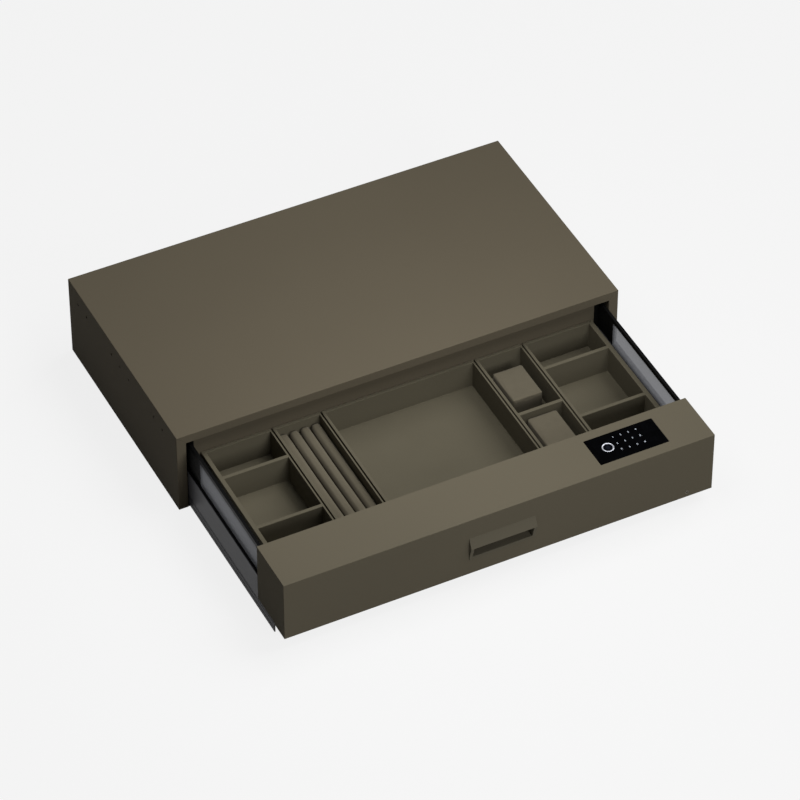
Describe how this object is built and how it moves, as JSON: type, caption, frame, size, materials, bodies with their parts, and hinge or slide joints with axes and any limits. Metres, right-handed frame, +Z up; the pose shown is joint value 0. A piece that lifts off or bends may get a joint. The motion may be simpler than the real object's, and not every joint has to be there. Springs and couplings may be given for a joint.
{
  "type": "under desk drawer safe",
  "caption": "Wide shallow board cabinet with a full-extension drawer: keypad front box, glass sides, lined organiser trays and motor-driven locking bolts.",
  "frame": {"origin": "centre of the cabinet's underside", "axes": "+X to the right seen from the front, +Y into the cabinet so that the drawer opens along -Y, +Z up"},
  "size_m": [0.864, 0.8599, 0.17],
  "materials": {
    "cabinet_lacquer": "satin olive-grey lacquer on board",
    "olive_sheet": "fine-textured olive-grey powder coat",
    "pull_paint": "satin olive-grey paint",
    "grey_runner_cover": "dark grey satin steel",
    "runner_steel": "zinc-plated steel",
    "grey_profile": "dark grey satin anodised",
    "smoked_glass": "polished smoked glass",
    "black_rail": "gloss black",
    "black_bracket": "satin black, ribbed",
    "black_plastic": "matte black",
    "lid_plastic": "matte dark olive",
    "black_glass": "gloss black glass with light digits",
    "sensor_glass": "gloss black",
    "bright_chrome": "polished",
    "lock_steel": "ground steel",
    "cell_wrap": "satin printed wrap, plain",
    "black_rubber": "matte",
    "cable_rubber": "matte",
    "tray_liner": "fine-grained olive-grey lining",
    "pad_fabric": "soft suede-like fabric"
  },
  "bodies": {
    "cabinet": {"top_board": "cabinet_lacquer", "left_side_board": "cabinet_lacquer", "right_side_board": "cabinet_lacquer", "back_board": "cabinet_lacquer", "bottom_plate": "olive_sheet", "left_cabinet_runner": "runner_steel", "right_cabinet_runner": "runner_steel", "left_runner_stop": "black_rubber", "right_runner_stop": "black_rubber", "left_strike": "lock_steel", "right_strike": "lock_steel"},
    "middle_runners": {"left_middle_runner": "runner_steel", "right_middle_runner": "runner_steel"},
    "drawer": {"left_drawer_runner": "grey_runner_cover", "right_drawer_runner": "grey_runner_cover", "left_side_profile": "grey_profile", "right_side_profile": "grey_profile", "left_side_glass": "smoked_glass", "right_side_glass": "smoked_glass", "left_top_rail": "black_rail", "right_top_rail": "black_rail", "left_rear_bracket": "black_bracket", "right_rear_bracket": "black_bracket", "drawer_back": "cabinet_lacquer", "base_pan": "olive_sheet", "front_shell": "olive_sheet", "front_box_back": "olive_sheet", "front_pull": "pull_paint", "keypad_housing": "black_plastic", "keypad_glass": "black_glass", "fingerprint_ring": "bright_chrome", "fingerprint_pad": "sensor_glass", "emergency_socket": "bright_chrome", "control_box": "black_plastic", "lock_motor": "black_plastic", "motor_cable": "cable_rubber", "battery_cable": "cable_rubber", "left_bolt_guide": "lock_steel", "right_bolt_guide": "lock_steel", "battery_case": "black_plastic", "battery_cell_1": "cell_wrap", "battery_cell_2": "cell_wrap", "battery_cell_3": "cell_wrap", "battery_cell_4": "cell_wrap", "left_tray": "tray_liner", "ring_tray": "tray_liner", "centre_tray": "tray_liner", "watch_tray": "tray_liner", "right_tray": "tray_liner", "ring_roll_1": "pad_fabric", "ring_roll_2": "pad_fabric", "ring_roll_3": "pad_fabric", "ring_roll_4": "pad_fabric", "rear_watch_pillow": "pad_fabric", "front_watch_pillow": "pad_fabric"},
    "battery_lid": {"battery_lid": "lid_plastic"},
    "lock_shaft": {"lock_shaft": "lock_steel"},
    "left_bolt": {"left_lock_bolt": "lock_steel"},
    "right_bolt": {"right_lock_bolt": "lock_steel"}
  },
  "joints": [
    {"name": "drawer_slide", "type": "slide", "parent": "cabinet", "child": "drawer", "axis": [0, 1, 0], "range_m": [-0.0136, 0.3864]},
    {"name": "runner_slide", "type": "slide", "parent": "cabinet", "child": "middle_runners", "axis": [0, 1, 0], "range_m": [-0.0068, 0.1932]},
    {"name": "lock_turn", "type": "hinge", "parent": "drawer", "child": "lock_shaft", "pos_m": [0, -0.55517, 0.062], "axis": [1, 0, 0], "range_deg": [0, 101.8]},
    {"name": "left_bolt_slide", "type": "slide", "parent": "drawer", "child": "left_bolt", "axis": [0, 0, -1], "range_m": [0, 0.016]},
    {"name": "right_bolt_slide", "type": "slide", "parent": "drawer", "child": "right_bolt", "axis": [0, 0, -1], "range_m": [0, 0.016]},
    {"name": "battery_lid_hinge", "type": "hinge", "parent": "drawer", "child": "battery_lid", "pos_m": [-0.159, -0.5116, 0.1113], "axis": [-1, 0, 0], "range_deg": [0, 90]}
  ],
  "couplings": [
    {"joint": "runner_slide", "follows": "drawer_slide", "ratio": 0.5},
    {"joint": "left_bolt_slide", "follows": "lock_turn", "m_per_rad": 0.009},
    {"joint": "right_bolt_slide", "follows": "lock_turn", "m_per_rad": 0.009}
  ]
}
